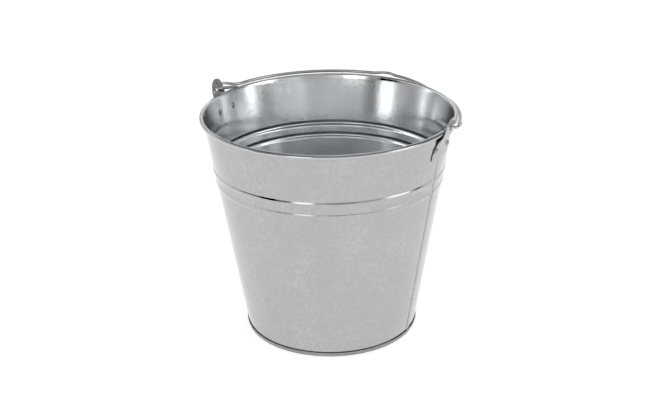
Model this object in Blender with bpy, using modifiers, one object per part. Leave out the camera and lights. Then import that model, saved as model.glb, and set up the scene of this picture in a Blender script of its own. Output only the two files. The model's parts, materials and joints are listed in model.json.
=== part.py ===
"""Galvanised florist bucket with a wire bail, in metres, +Z up.

The origin is on the bucket's axis, in the plane of the flat underside that it stands on. The two
ears are on the X axis, and the bail lies folded back towards +Y.
"""
import math

import bmesh
import bpy
from mathutils import Matrix, Vector

# ---- driving dimensions ----
GAP = 0.0003                    # clearance between neighbouring pieces
SEGMENTS = 64                   # facets round the bucket

# conical wall
SHEET = 0.0006                  # thickness of the galvanised sheet
FOOT_RADIUS = 0.1020            # outer radius of the wall, continued down to z = 0
WALL_SLOPE = 0.16338            # growth of the radius for each unit of height
WALL_BOTTOM = 0.0010            # lower edge of the sheet, just above the bottom disc

# the curled rim and the wire inside it
CURL_RADIUS = 0.0025            # outer radius of the curl
CURL_CENTRE_R = 0.1472
CURL_CENTRE_Z = 0.2652
CURL_END_DEG = -125.0           # the curl runs from 180 degrees over the top to this angle
CURL_POINTS = 11
RIM_WIRE_RADIUS = 0.0016

# two beads that stiffen the wall: centre height and how far each stands out
BEADS = ((0.1905, 0.0011), (0.2055, 0.0013))
BEAD_WIDTH = 0.0088
BEAD_POINTS = 5

# side seam, under the ear at +X
SEAM_HALF_ANGLE_DEG = 1.55
SEAM_PROUD = 0.0009
SEAM_TOP = 0.2320
SEAM_BOTTOM = 0.0065

# bottom disc with its edge folded up round the wall's foot
DISC_SHEET = 0.0007
FLANGE_SHEET = 0.0009           # the folded edge is a little thicker than the disc
FLANGE_TOP = 0.0055
FLANGE_ROUND = 0.0010
CORNER_SHARE = 0.3              # of the rounding, where its corner is cut at 45 degrees

# ears: a stamped plate that hugs the wall, then stands out past the rim
EAR_SHEET = 0.0012
EAR_BOTTOM = 0.2346
EAR_HUG_TOP = 0.2520            # the plate leaves the wall here
EAR_ROUND = ((0.2575, 0.1464), (0.2618, 0.1496), (0.2660, 0.1515), (0.2716, 0.1529),
             (0.2775, 0.1538), (0.2840, 0.1545))    # height and radius of the plate above that
EAR_OUTLINE = ((0.0170, 0.2346), (0.0205, 0.2360), (0.0215, 0.2392), (0.0208, 0.2440),
               (0.0180, 0.2495), (0.0150, 0.2550), (0.0134, 0.2600), (0.0126, 0.2650),
               (0.0120, 0.2700))                    # half width and height
EAR_SKEW = 0.0018               # the left ear sits this much higher than that, the right lower
EAR_TIP_RADIUS = 0.0112
EAR_TIP_STEP_DEG = 20
EAR_SWEEP_DEG = 18.0            # turn of the sheet that the ear is cut from
EAR_STEPS = 8
EAR_TRIM = 0.0020               # spare sheet below the outline before it is cut
EYE_RADIUS = 0.0034
EYE_DRILL = 0.020
OUTLINE_REACH = 0.030           # the ear's outline cuts this far each way from the plate

# rivets: two for each ear, each with a domed outer head and a flatter set end inside
RIVET_Z = 0.2474
RIVET_ANGLE_DEG = 6.15
RIVET_SHANK = 0.0020
RIVET_DRILL = 0.012
RIVET_HEAD = (0.0032, 0.0016)   # radius and height
RIVET_DOME = ((0.0, 1.0), (0.55, 0.84), (0.90, 0.45), (1.0, 0.0))   # shares of them
RIVET_SET_END = (0.0037, 0.0011)
RIVET_SET_SHAPE = ((1.0, 0.0), (0.85, 0.75), (0.42, 1.0), (0.0, 0.75))
RIVET_STEPS = 16

# bail: a round wire hung in the eyes and folded back, on top of the rim near the left ear and
# slipped to the rim's outside near the right ear
WIRE_RADIUS = 0.0019
PIVOT_Z = 0.2722                # the hinge line's height at the bucket's axis
PIVOT_R = 0.1529                # middle of the ear's plate at the eye
LEFT_LIE = (0.0055, 87.0)       # the wire seen from the curl's centre: distance, angle above level
RIGHT_LIE = (0.0056, -32.0)
LIE_CHANGE_DEG = (56.0, 97.0)  # between these angles it passes from one to the other
HUMP_HEIGHT = 0.0055            # the outward kink that centres the bail on a hook
HUMP_HALF_WIDTH = 0.017
HUMP_AT_DEG = 89.7
OUTSIDE_R = 0.1590              # the wire stands this far out beside the ears
LEAVE_EAR_DEG = (5.3, 13.5)     # between these angles it runs in from there to the rim
TAIL_END = (0.1318, 0.0120)     # end of the wire inside the bucket: distance out, distance back
TAIL_RISE = 0.0015
TAIL_SHARES = (0.0, 0.33, 0.66, 0.88)
TAIL_BEND = 0.0042              # the tail turns back this far inside the ear
TAIL_LAST = (0.3, 0.03)         # shares of the bend and of the distance back at its last point
HOOK_STAND = 0.0018             # the bend outside the ear starts this far from its plate
HOOK_BEND = 0.0044              # radius of that bend
HOOK_DEGREES = (-65.0, -40.0, -15.0, 10.0)
BAIL_START_DEG = 4.0            # where the hook runs into the long curve
BAIL_STEP_DEG = 3.5

STEEL = ((0.60, 0.61, 0.62), 0.30)
SPANGLE = ((0.56, 0.57, 0.58), 0.34)
RIVET_STEEL = ((0.50, 0.51, 0.53), 0.35)
WIRE_STEEL = ((0.55, 0.55, 0.54), 0.33)


def make_material(name, look):
    """Plain metal: look is a colour and a roughness."""
    colour, roughness = look
    material = bpy.data.materials.new(name)
    material.use_nodes = True
    shader = material.node_tree.nodes["Principled BSDF"]
    shader.inputs["Base Color"].default_value = (*colour, 1.0)
    shader.inputs["Metallic"].default_value = 1.0
    shader.inputs["Roughness"].default_value = roughness
    material.diffuse_color = (*colour, 1.0)
    return material


def new_collection(name):
    collection = bpy.data.collections.new(name)
    bpy.context.scene.collection.children.link(collection)
    return collection


def wall_radius(z):
    """Outer radius of the plain cone at height z."""
    return FOOT_RADIUS + WALL_SLOPE * z


def line_object(name, points, collection):
    """An open chain of edges in the XZ plane, ready for a Screw modifier."""
    mesh = bpy.data.meshes.new(name)
    edges = [(i, i + 1) for i in range(len(points) - 1)]
    mesh.from_pydata([(r, 0.0, z) for r, z in points], edges, [])
    part = bpy.data.objects.new(name, mesh)
    collection.objects.link(part)
    return part


def add_screw(part, angle, steps):
    """Turn the profile about Z; a full turn is closed where it meets itself."""
    screw = part.modifiers.new("turn", 'SCREW')
    screw.axis = 'Z'
    screw.angle = angle
    screw.steps = steps
    screw.render_steps = steps
    screw.use_merge_vertices = True
    screw.merge_threshold = 0.00001
    screw.use_smooth_shade = True
    return screw


def add_solidify(part, thickness, offset):
    solid = part.modifiers.new("sheet", 'SOLIDIFY')
    solid.thickness = thickness
    solid.offset = offset
    solid.use_even_offset = True
    return solid


def add_boolean(part, operation, other):
    cut = part.modifiers.new(f"{operation.lower()} {other.name}", 'BOOLEAN')
    cut.operation = operation
    cut.object = other
    return cut


def shade(part, degrees=35.0):
    part.data.shade_smooth()
    part.data.set_sharp_from_angle(angle=math.radians(degrees))


def frozen(part, collection):
    """Replace an object by one plain mesh of what its modifiers make."""
    bpy.context.view_layer.update()
    evaluated = part.evaluated_get(bpy.context.evaluated_depsgraph_get())
    mesh = bpy.data.meshes.new_from_object(evaluated)
    name = part.name
    solid = bpy.data.objects.new(name + "_solid", mesh)
    solid.matrix_world = part.matrix_world.copy()
    bpy.data.objects.remove(part, do_unlink=True)
    solid.name = name
    collection.objects.link(solid)
    work = bmesh.new()
    work.from_mesh(mesh)
    bmesh.ops.remove_doubles(work, verts=work.verts, dist=0.000005)
    work.to_mesh(mesh)
    work.free()
    return solid


def hide_cutter(cutter):
    cutter.hide_render = True
    cutter.display_type = 'WIRE'
    return cutter


def bead_offset(z):
    """How far the wall stands out at height z, a raised cosine over each bead."""
    out = 0.0
    for centre, height in BEADS:
        u = (z - centre) / (BEAD_WIDTH / 2)
        if abs(u) < 1.0:
            out += height * 0.5 * (1.0 + math.cos(math.pi * u))
    return out


def bead_heights():
    """Heights of the profile points that draw the beads, top first."""
    heights = []
    for centre, _ in reversed(BEADS):
        for i in range(BEAD_POINTS):
            heights.append(centre + BEAD_WIDTH * (0.5 - i / (BEAD_POINTS - 1)))
    return heights


def wall_profile():
    """Middle of the sheet: round the curl from its free end, then down the wall."""
    middle = CURL_RADIUS - SHEET / 2
    points = []
    for i in range(CURL_POINTS):
        angle = math.radians(CURL_END_DEG + (180.0 - CURL_END_DEG) * i / (CURL_POINTS - 1))
        points.append((CURL_CENTRE_R + middle * math.cos(angle),
                       CURL_CENTRE_Z + middle * math.sin(angle)))
    for z in bead_heights():
        points.append((wall_radius(z) - SHEET / 2 + bead_offset(z), z))
    points.append((wall_radius(WALL_BOTTOM) - SHEET / 2, WALL_BOTTOM))
    return points


def cone_axis(angle, z):
    """Point on the wall's outer surface at this angle, and the direction out of the wall."""
    radial = Vector((math.cos(angle), math.sin(angle), 0.0))
    point = radial * wall_radius(z) + Vector((0.0, 0.0, z))
    normal = (radial - Vector((0.0, 0.0, WALL_SLOPE))).normalized()
    return point, normal


def rivet_places():
    """Name, angle and height of each rivet, round the bucket."""
    step = math.radians(RIVET_ANGLE_DEG)
    right = RIVET_Z - EAR_SKEW
    left = RIVET_Z + EAR_SKEW
    return (("rivet_right_front", -step, right), ("rivet_right_back", step, right),
            ("rivet_left_front", math.pi + step, left), ("rivet_left_back", math.pi - step, left))


def drill(name, point, direction, radius, length, collection):
    """A round cutter centred on a point."""
    bpy.ops.mesh.primitive_cylinder_add(vertices=16, radius=radius, depth=length)
    cutter = bpy.context.object
    cutter.name = name
    cutter.rotation_euler = direction.to_track_quat('Z', 'Y').to_euler()
    cutter.location = point
    for owner in list(cutter.users_collection):
        owner.objects.unlink(cutter)
    collection.objects.link(cutter)
    return hide_cutter(cutter)


def make_wall(parts, cutters, drills, material):
    """Conical sheet with two beads, a curled top edge, a raised seam and the rivet holes."""
    wall = line_object("body_wall", wall_profile(), parts)
    add_screw(wall, 2 * math.pi, SEGMENTS)
    add_solidify(wall, SHEET, 0.0)
    seam = make_seam_strip(cutters)
    add_boolean(wall, 'UNION', seam)
    for cutter in drills:
        add_boolean(wall, 'DIFFERENCE', cutter)
    wall.data.materials.append(material)
    return wall


def make_seam_strip(cutters):
    """The lock seam: a narrow raised strip that follows the wall and its beads."""
    heights = [SEAM_TOP] + bead_heights() + [SEAM_BOTTOM]
    skin = SHEET / 2
    points = [(wall_radius(z) + bead_offset(z) - skin, z) for z in heights]
    seam = line_object("seam_strip", points, cutters)
    seam.rotation_euler.z = -math.radians(SEAM_HALF_ANGLE_DEG)
    add_screw(seam, 2 * math.radians(SEAM_HALF_ANGLE_DEG), 2)
    add_solidify(seam, SEAM_PROUD + skin, 1.0)
    return hide_cutter(seam)


def make_rim_wire(parts, material):
    """The wire that the top edge is rolled round."""
    bpy.ops.mesh.primitive_torus_add(major_segments=SEGMENTS, minor_segments=8,
                                     major_radius=CURL_CENTRE_R, minor_radius=RIM_WIRE_RADIUS,
                                     location=(0.0, 0.0, CURL_CENTRE_Z))
    wire = bpy.context.object
    wire.name = "rim_wire"
    adopt(wire, parts)
    shade(wire)
    wire.data.materials.append(material)
    return wire


def adopt(part, collection):
    for owner in list(part.users_collection):
        owner.objects.unlink(part)
    collection.objects.link(part)


def make_disc(parts, material):
    """Round bottom whose edge is folded up against the outside of the wall."""
    floor_r = wall_radius(0.0) + GAP
    outer = floor_r + FLANGE_SHEET
    lean = WALL_SLOPE * FLANGE_TOP
    points = [
        (0.0, DISC_SHEET),
        (floor_r, DISC_SHEET),
        (floor_r + lean, FLANGE_TOP - FLANGE_SHEET / 4),
        (floor_r + lean + FLANGE_SHEET / 4, FLANGE_TOP),
        (outer + lean - FLANGE_SHEET / 4, FLANGE_TOP),
        (outer + lean, FLANGE_TOP - FLANGE_SHEET / 4),
        (outer, FLANGE_ROUND),
        (outer - FLANGE_ROUND * CORNER_SHARE, FLANGE_ROUND * CORNER_SHARE),
        (outer - FLANGE_ROUND, 0.0),
        (0.0, 0.0),
    ]
    disc = line_object("bottom_disc", points, parts)
    add_screw(disc, 2 * math.pi, SEGMENTS)
    disc.data.materials.append(material)
    return disc


def ear_profile():
    """Middle of the ear's plate in the XZ plane, top first."""
    stand_off = (GAP + EAR_SHEET / 2) * math.hypot(1.0, WALL_SLOPE)
    hug = [(wall_radius(z) + stand_off, z) for z in (EAR_HUG_TOP, EAR_BOTTOM - EAR_TRIM)]
    return [(r, z) for z, r in reversed(EAR_ROUND)] + hug


def flat_outline(name, points, half_depth, collection):
    """A closed flat outline in the YZ plane, extruded along X and made one solid."""
    curve = bpy.data.curves.new(name, 'CURVE')
    curve.dimensions = '2D'
    curve.fill_mode = 'BOTH'
    curve.extrude = half_depth
    spline = curve.splines.new('POLY')
    spline.points.add(len(points) - 1)
    for spot, (y, z) in zip(spline.points, points):
        spot.co = (y, z, 0.0, 1.0)
    spline.use_cyclic_u = True
    outline = bpy.data.objects.new(name, curve)
    collection.objects.link(outline)
    outline.matrix_world = Matrix(((0, 0, 1, 0), (1, 0, 0, 0), (0, 1, 0, 0), (0, 0, 0, 1)))
    return hide_cutter(frozen(outline, collection))


def ear_outline():
    """Front view of the ear: a wide foot, a waist and a round tip."""
    side = list(EAR_OUTLINE)
    tip = []
    for degrees in range(EAR_TIP_STEP_DEG // 2, 180, EAR_TIP_STEP_DEG):
        angle = math.radians(degrees)
        tip.append((EAR_TIP_RADIUS * math.cos(angle), PIVOT_Z + EAR_TIP_RADIUS * math.sin(angle)))
    mirrored = [(-y, z) for y, z in reversed(side)]
    return side + tip + mirrored


def make_ear(name, turn, lift, parts, cutters, drills, material):
    """One stamped ear: a curved sheet trimmed to its outline, with an eye and rivet holes.

    It is made at its mean height and then slides up the wall's slope by lift.
    """
    direction = Vector((math.cos(turn), math.sin(turn), 0.0))
    slide = direction * (WALL_SLOPE * lift) + Vector((0.0, 0.0, lift))
    sheet = line_object(name, ear_profile(), parts)
    sweep = math.radians(EAR_SWEEP_DEG)
    sheet.rotation_euler.z = turn - sweep / 2
    sheet.location = slide
    add_screw(sheet, sweep, EAR_STEPS)
    add_solidify(sheet, EAR_SHEET, 0.0)
    outline = flat_outline(name + "_outline", ear_outline(), OUTLINE_REACH, cutters)
    outline.matrix_world = (Matrix.Translation(slide) @ Matrix.Rotation(turn, 4, 'Z')
                            @ Matrix.Translation((PIVOT_R, 0.0, 0.0)) @ outline.matrix_world)
    middle = direction * PIVOT_R + Vector((0.0, 0.0, PIVOT_Z)) + slide
    eye = drill(name + "_eye", middle, direction, EYE_RADIUS, EYE_DRILL, cutters)
    add_boolean(sheet, 'INTERSECT', outline)
    for cutter in [eye] + drills:
        add_boolean(sheet, 'DIFFERENCE', cutter)
    sheet.data.materials.append(material)
    return sheet


def rivet_profile():
    """Half section of a set rivet about its own axis, outer head at the top."""
    plate_face = GAP + EAR_SHEET + GAP
    inside = -SHEET - GAP
    head, rise = RIVET_HEAD
    end, fall = RIVET_SET_END
    dome = [(head * out, plate_face + rise * up) for out, up in RIVET_DOME]
    set_end = [(end * out, inside - fall * down) for out, down in RIVET_SET_SHAPE]
    return dome + [(RIVET_SHANK, plate_face), (RIVET_SHANK, inside)] + set_end


def make_rivet(name, angle, z, parts, material):
    rivet = line_object(name, rivet_profile(), parts)
    add_screw(rivet, 2 * math.pi, RIVET_STEPS)
    point, normal = cone_axis(angle, z)
    rivet.rotation_euler = normal.to_track_quat('Z', 'Y').to_euler()
    rivet.location = point
    rivet.data.materials.append(material)
    return rivet


def smooth_share(value, low, high):
    """0 below low, 1 above high, and a smooth rise between them."""
    share = min(max((value - low) / (high - low), 0.0), 1.0)
    return share * share * (3.0 - 2.0 * share)


def hinge_tilt():
    """The hinge line through both eyes leans by this angle, down towards the right ear."""
    return math.atan(EAR_SKEW / PIVOT_R)


def bail_place(angle):
    """Radius of the folded wire, and its height over the hinge line, at an angle round the rim."""
    degrees = math.degrees(angle)
    left = smooth_share(degrees, *LIE_CHANGE_DEG)
    away = RIGHT_LIE[0] + (LEFT_LIE[0] - RIGHT_LIE[0]) * left
    lift = math.radians(RIGHT_LIE[1] + (LEFT_LIE[1] - RIGHT_LIE[1]) * left)
    arc = (angle - math.radians(HUMP_AT_DEG)) * CURL_CENTRE_R
    hump = 0.0
    if abs(arc) < HUMP_HALF_WIDTH:
        hump = HUMP_HEIGHT * 0.5 * (1.0 + math.cos(math.pi * arc / HUMP_HALF_WIDTH))
    rim_r = CURL_CENTRE_R + away * math.cos(lift) + hump
    hinge_z = PIVOT_Z - rim_r * math.cos(angle) * math.tan(hinge_tilt())
    rim_z = CURL_CENTRE_Z + away * math.sin(lift) - hinge_z
    on_rim = smooth_share(min(degrees, 180.0 - degrees), *LEAVE_EAR_DEG)
    return OUTSIDE_R + (rim_r - OUTSIDE_R) * on_rim, rim_z * on_rim


def hook_points():
    """Half of the bail near an ear: tail inside, through the eye, round the bend outside."""
    tail_x, tail_y = TAIL_END
    inner_x = PIVOT_R - TAIL_BEND
    outer_x = PIVOT_R + HOOK_STAND
    points = []
    for share in TAIL_SHARES:
        points.append((tail_x + (inner_x - tail_x) * share, tail_y * (1.0 - share),
                       TAIL_RISE * (1.0 - share)))
    points.append((inner_x + TAIL_BEND * TAIL_LAST[0], tail_y * TAIL_LAST[1], 0.0))
    points.append((outer_x, 0.0, 0.0))
    for degrees in HOOK_DEGREES:
        angle = math.radians(degrees)
        points.append((outer_x + HOOK_BEND * math.cos(angle),
                       HOOK_BEND + HOOK_BEND * math.sin(angle), 0.0))
    return points


def bail_points():
    """The wire's middle line: X along the hinge line, Y back from it, Z up from it."""
    hook = hook_points()
    points = list(hook)
    start = math.radians(BAIL_START_DEG)
    count = round(math.degrees(math.pi - 2 * start) / BAIL_STEP_DEG)
    for i in range(count + 1):
        angle = start + (math.pi - 2 * start) * i / count
        r, z = bail_place(angle)
        points.append((r * math.cos(angle), r * math.sin(angle), z))
    return points + [(-x, y, z) for x, y, z in reversed(hook)]


def make_bail(parts, material):
    """Round wire handle, hung from an empty on the hinge line through both eyes."""
    pivot = bpy.data.objects.new("bail_pivot", None)
    parts.objects.link(pivot)
    pivot.location = (0.0, 0.0, PIVOT_Z)
    pivot.rotation_euler.y = hinge_tilt()
    curve = bpy.data.curves.new("bail", 'CURVE')
    curve.dimensions = '3D'
    curve.bevel_depth = WIRE_RADIUS
    curve.bevel_resolution = 2
    curve.use_fill_caps = True
    route = bail_points()
    spline = curve.splines.new('POLY')
    spline.points.add(len(route) - 1)
    for spot, (x, y, z) in zip(spline.points, route):
        spot.co = (x, y, z, 1.0)
    bail = bpy.data.objects.new("bail", curve)
    parts.objects.link(bail)
    bail.parent = pivot
    bail.data.materials.append(material)
    return bail


def main():
    for old in list(bpy.data.objects):
        bpy.data.objects.remove(old, do_unlink=True)
    parts = new_collection("florist_bucket")
    cutters = new_collection("cutters")

    sheet_metal = make_material("galvanised_sheet", STEEL)
    disc_metal = make_material("galvanised_bottom", SPANGLE)
    ear_metal = make_material("galvanised_ear", STEEL)
    rivet_metal = make_material("rivet_steel", RIVET_STEEL)
    wire_metal = make_material("galvanised_wire", WIRE_STEEL)

    drills = {}
    for name, angle, z in rivet_places():
        point, normal = cone_axis(angle, z)
        drills[name] = drill(name + "_hole", point, normal, RIVET_SHANK + GAP, RIVET_DRILL,
                             cutters)

    make_wall(parts, cutters, list(drills.values()), sheet_metal)
    make_rim_wire(parts, wire_metal)
    make_disc(parts, disc_metal)
    for name, turn, lift in (("ear_right", 0.0, -EAR_SKEW), ("ear_left", math.pi, EAR_SKEW)):
        side = [cutter for key, cutter in drills.items() if name[4:] in key]
        make_ear(name, turn, lift, parts, cutters, side, ear_metal)
    for name, angle, z in rivet_places():
        make_rivet(name, angle, z, parts, rivet_metal)
    make_bail(parts, wire_metal)


main()
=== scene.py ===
"""Finished surfaces of a galvanised florist bucket, built round its working model.

Every piece is a surface worked out from a formula: a profile turned about an axis, a round wire
carried along a path, or a plate spread between a hole and an outline. Lengths are in metres, +Z is
up, the ears are on the X axis and the bail lies folded back towards +Y.
"""
import json
import math

import bpy
import numpy as np
from bpy.props import FloatProperty, FloatVectorProperty, IntProperty, PointerProperty
from mathutils import Matrix, Vector


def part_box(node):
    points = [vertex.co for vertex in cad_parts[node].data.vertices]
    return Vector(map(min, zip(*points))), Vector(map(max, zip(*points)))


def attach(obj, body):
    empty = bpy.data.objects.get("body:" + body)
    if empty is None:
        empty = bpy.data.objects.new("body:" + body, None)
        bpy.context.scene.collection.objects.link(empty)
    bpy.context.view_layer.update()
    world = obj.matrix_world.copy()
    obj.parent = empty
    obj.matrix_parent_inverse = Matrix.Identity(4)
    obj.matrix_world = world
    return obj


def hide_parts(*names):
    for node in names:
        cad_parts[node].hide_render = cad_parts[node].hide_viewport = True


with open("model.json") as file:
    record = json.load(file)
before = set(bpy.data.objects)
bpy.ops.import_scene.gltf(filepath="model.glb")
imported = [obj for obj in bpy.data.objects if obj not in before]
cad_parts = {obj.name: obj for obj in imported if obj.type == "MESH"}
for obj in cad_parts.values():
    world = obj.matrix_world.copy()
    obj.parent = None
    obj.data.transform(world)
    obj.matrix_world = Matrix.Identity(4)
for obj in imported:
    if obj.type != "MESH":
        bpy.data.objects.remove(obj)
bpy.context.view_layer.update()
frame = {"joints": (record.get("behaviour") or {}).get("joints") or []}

bl_info = {
    "name": "Galvanised Florist Bucket",
    "version": (1, 0, 0),
    "blender": (4, 5, 0),
    "location": "View3D > Sidebar > Bucket",
    "description": "Builds the sheet metal, ears, rivets, wire bail and studio of a florist bucket",
    "category": "Add Mesh",
}

# ---- sizes read from the working model ----
RIM_LOW, RIM_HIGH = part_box("rim_wire")
WALL_LOW, WALL_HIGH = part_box("body_wall")
DISC_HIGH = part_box("bottom_disc")[1]
EAR_RIGHT_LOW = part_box("ear_right")[0]
EAR_LEFT_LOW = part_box("ear_left")[0]
HINGE = frame["joints"][0]

CORE_RADIUS = (RIM_HIGH.z - RIM_LOW.z) / 2        # the wire inside the rim
CURL_Z = (RIM_HIGH.z + RIM_LOW.z) / 2
CURL_R = RIM_HIGH.x - CORE_RADIUS
EAR_SKEW = (EAR_LEFT_LOW.z - EAR_RIGHT_LOW.z) / 2  # the left ear sits higher than the right one
EAR_FOOT = (EAR_LEFT_LOW.z + EAR_RIGHT_LOW.z) / 2
HINGE_Z = HINGE["pos_m"][2]
FIT = 0.0003                                       # clearance between neighbouring pieces


# =============================== small shared sums ===============================

def smooth_step(value, low, high):
    """0 below low, 1 above high, and 3s^2 - 2s^3 of the share s between them."""
    share = np.clip((np.asarray(value, float) - low) / (high - low), 0.0, 1.0)
    return share * share * (3.0 - 2.0 * share)


def smooth_line(places, values, wanted):
    """A curve through points, by cubic pieces whose slope at a point is that of its neighbours."""
    places = np.asarray(places, float)
    values = np.asarray(values, float)
    slopes = np.gradient(values, places)
    left = np.clip(np.searchsorted(places, wanted) - 1, 0, len(places) - 2)
    width = places[left + 1] - places[left]
    s = np.clip((wanted - places[left]) / width, 0.0, 1.0)
    start = (1 + 2 * s) * (1 - s) ** 2 * values[left] + s * (1 - s) ** 2 * width * slopes[left]
    end = s * s * (3 - 2 * s) * values[left + 1] + s * s * (s - 1) * width * slopes[left + 1]
    return start + end


def even_points(points, count, closed=False):
    """Resample a chain of points at even distances along a smooth curve through them."""
    points = np.asarray(points, float)
    if closed:
        points = np.vstack([points, points[:1]])
    steps = np.linalg.norm(np.diff(points, axis=0), axis=1)
    along = np.concatenate([[0.0], np.cumsum(steps)])
    if closed:
        turn = along[-1]
        along = np.concatenate([along[:-1] - turn, along, along[1:] + turn])
        points = np.vstack([points[:-1], points, points[1:]])
        wanted = np.linspace(0.0, turn, count, endpoint=False)
    else:
        wanted = np.linspace(0.0, along[-1], count)
    return np.stack([smooth_line(along, points[:, k], wanted) for k in range(points.shape[1])], 1)


def normal_along(points):
    """Unit normal on the left of each point of a chain in a plane."""
    tangent = np.gradient(points, axis=0)
    tangent /= np.linalg.norm(tangent, axis=1, keepdims=True)
    return np.stack([-tangent[:, 1], tangent[:, 0]], 1)


# =============================== surfaces into meshes ===============================

SHARP_EDGE_DEG = 40.0                # edges bent more than this stay crisp
CUT_END_DEG = (18.0, 45.0, 72.0)     # rings of a wire's softly rounded cut end


def surface_object(name, rows, wrap_rows=False, start=None, end=None):
    """A mesh over a grid of points whose columns close into rings.

    rows has shape (rings, points, 3). wrap_rows joins the last ring to the first; start and end are
    single points that close the first and last ring. Faces are turned to point outwards, found
    from the sign of the enclosed volume.
    """
    rings, count, _ = rows.shape
    points = rows.reshape(-1, 3)
    index = np.arange(rings * count).reshape(rings, count)
    if wrap_rows:
        index = np.vstack([index, index[:1]])
    here, there = index[:-1], index[1:]
    quads = np.stack([here, np.roll(here, -1, 1), np.roll(there, -1, 1), there], -1).reshape(-1, 4)
    fans = []
    for tip, ring, flip in ((start, index[0], True), (end, index[-1], False)):
        if tip is not None:
            centre = np.full(count, len(points))
            points = np.vstack([points, np.asarray(tip, float)[None]])
            fan = np.stack([ring, np.roll(ring, -1), centre], -1)
            fans.append(fan[:, ::-1] if flip else fan)
    triangles = np.vstack(fans) if fans else np.zeros((0, 3), int)
    split = np.vstack([quads[:, [0, 1, 2]], quads[:, [0, 2, 3]], triangles])
    a, b, c = (points[split[:, k]] for k in range(3))
    if np.einsum('ij,ij->i', a, np.cross(b, c)).sum() < 0:
        quads = quads[:, ::-1]
        triangles = triangles[:, ::-1]
    corners = np.concatenate([quads.ravel(), triangles.ravel()]).astype(np.int32)
    starts = np.concatenate([np.arange(len(quads)) * 4,
                             len(quads) * 4 + np.arange(len(triangles)) * 3]).astype(np.int32)
    mesh = bpy.data.meshes.new(name)
    mesh.vertices.add(len(points))
    mesh.vertices.foreach_set("co", points.astype(np.float32).ravel())
    mesh.loops.add(len(corners))
    mesh.loops.foreach_set("vertex_index", corners)
    mesh.polygons.add(len(starts))
    mesh.polygons.foreach_set("loop_start", starts)
    mesh.update(calc_edges=True)
    if mesh.validate(verbose=False):
        raise RuntimeError(f"{name}: the surface has faulty faces")
    mesh.shade_smooth()
    mesh.set_sharp_from_angle(angle=math.radians(SHARP_EDGE_DEG))
    piece = bpy.data.objects.new(name, mesh)
    bpy.context.scene.collection.objects.link(piece)
    return piece


def turned(profile, angles):
    """Grid of a profile of (radius, height) turned about Z to each angle."""
    r, z = profile[:, 0][:, None], profile[:, 1][:, None]
    return np.stack([r * np.cos(angles), r * np.sin(angles), z + 0 * angles], -1)


def round_wire(name, path, radius, sides, bulge=None):
    """A round wire of one radius along a path: a closed loop, or cut ends that bulge by a share.

    Ring point = path + radius * (cos(a) * side + sin(a) * up), where side is the tangent crossed
    with Z and up is side crossed with the tangent. The cut ends follow a quarter of an ellipse.
    """
    closed = bulge is None
    if closed:
        tangent = np.roll(path, -1, 0) - np.roll(path, 1, 0)
    else:
        tangent = np.gradient(path, axis=0)
    tangent /= np.linalg.norm(tangent, axis=1, keepdims=True)
    side = np.cross(tangent, [0.0, 0.0, 1.0])
    side /= np.linalg.norm(side, axis=1, keepdims=True)
    up = np.cross(side, tangent)
    around = np.linspace(0.0, 2 * math.pi, sides, endpoint=False)
    ring = (np.cos(around)[None, :, None] * side[:, None]
            + np.sin(around)[None, :, None] * up[:, None])
    if closed:
        return surface_object(name, path[:, None] + radius * ring, wrap_rows=True)
    soft = np.radians(CUT_END_DEG)
    reach, width = radius * bulge * np.sin(soft), radius * (1 - bulge * (1 - np.cos(soft)))
    first = (path[0] - tangent[0] * reach[::-1, None])[:, None] + width[::-1, None, None] * ring[0]
    last = (path[-1] + tangent[-1] * reach[:, None])[:, None] + width[:, None, None] * ring[-1]
    rows = np.concatenate([first, path[:, None] + radius * ring, last])
    return surface_object(name, rows, start=path[0] - tangent[0] * radius * bulge,
                          end=path[-1] + tangent[-1] * radius * bulge)


def finish_piece(piece, material, body, slot, *nodes):
    """Give a piece its material and its moving body, and hide the nodes it stands for; slot is not
    used.
    """
    piece.data.materials.append(material)
    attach(piece, body)
    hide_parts(*nodes)


# =============================== settings ===============================

def length(name, description, value):
    return FloatProperty(name=name, description=description, default=value, precision=5,
                         unit='LENGTH')


def colour(name, description, value):
    return FloatVectorProperty(name=name, description=description, default=value, size=3,
                               subtype='COLOR', min=0.0, max=1.0)


class BucketWallSettings(bpy.types.PropertyGroup):
    sheet: length("Sheet", "Thickness of the galvanised sheet", 0.0006)
    foot_radius: length("Foot radius", "Outer radius of the wall, continued to the ground", 0.1020)
    slope: FloatProperty(name="Slope", description="Growth of the radius with height",
                         default=0.16338, precision=5)
    curl_end: FloatProperty(name="Curl end", description="Where the rim's curl ends, in degrees",
                            default=-125.0)
    bead_width: length("Bead width", "Height of each raised bead", 0.0088)
    lower_bead: length("Lower bead", "Height of the lower bead's middle", 0.1905)
    upper_bead: length("Upper bead", "Height of the upper bead's middle", 0.2055)
    lower_rise: length("Lower bead rise", "How far the lower bead stands out", 0.0011)
    upper_rise: length("Upper bead rise", "How far the upper bead stands out", 0.0013)
    seam_half_angle: FloatProperty(name="Seam half angle", default=1.55,
                                   description="Half the width of the lock seam, in degrees")
    seam_rise: length("Seam rise", "How far the lock seam stands out", 0.0009)
    seam_top: length("Seam top", "Height where the seam runs out under the ear", 0.2320)
    seam_bottom: length("Seam bottom", "Height where the seam enters the foot", 0.0065)
    ripple: length("Ripple", "Unevenness left in the sheet by rolling", 0.00016)
    dimple: length("Dimple", "Depth that each rivet pulls the wall in", 0.0004)


class BucketBottomSettings(bpy.types.PropertyGroup):
    sheet: length("Disc sheet", "Thickness of the bottom disc", 0.0007)
    flange: length("Flange sheet", "Thickness of the edge folded up round the foot", 0.0009)
    edge: length("Edge rounding", "Radius of the fold at the ground", 0.0009)


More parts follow.
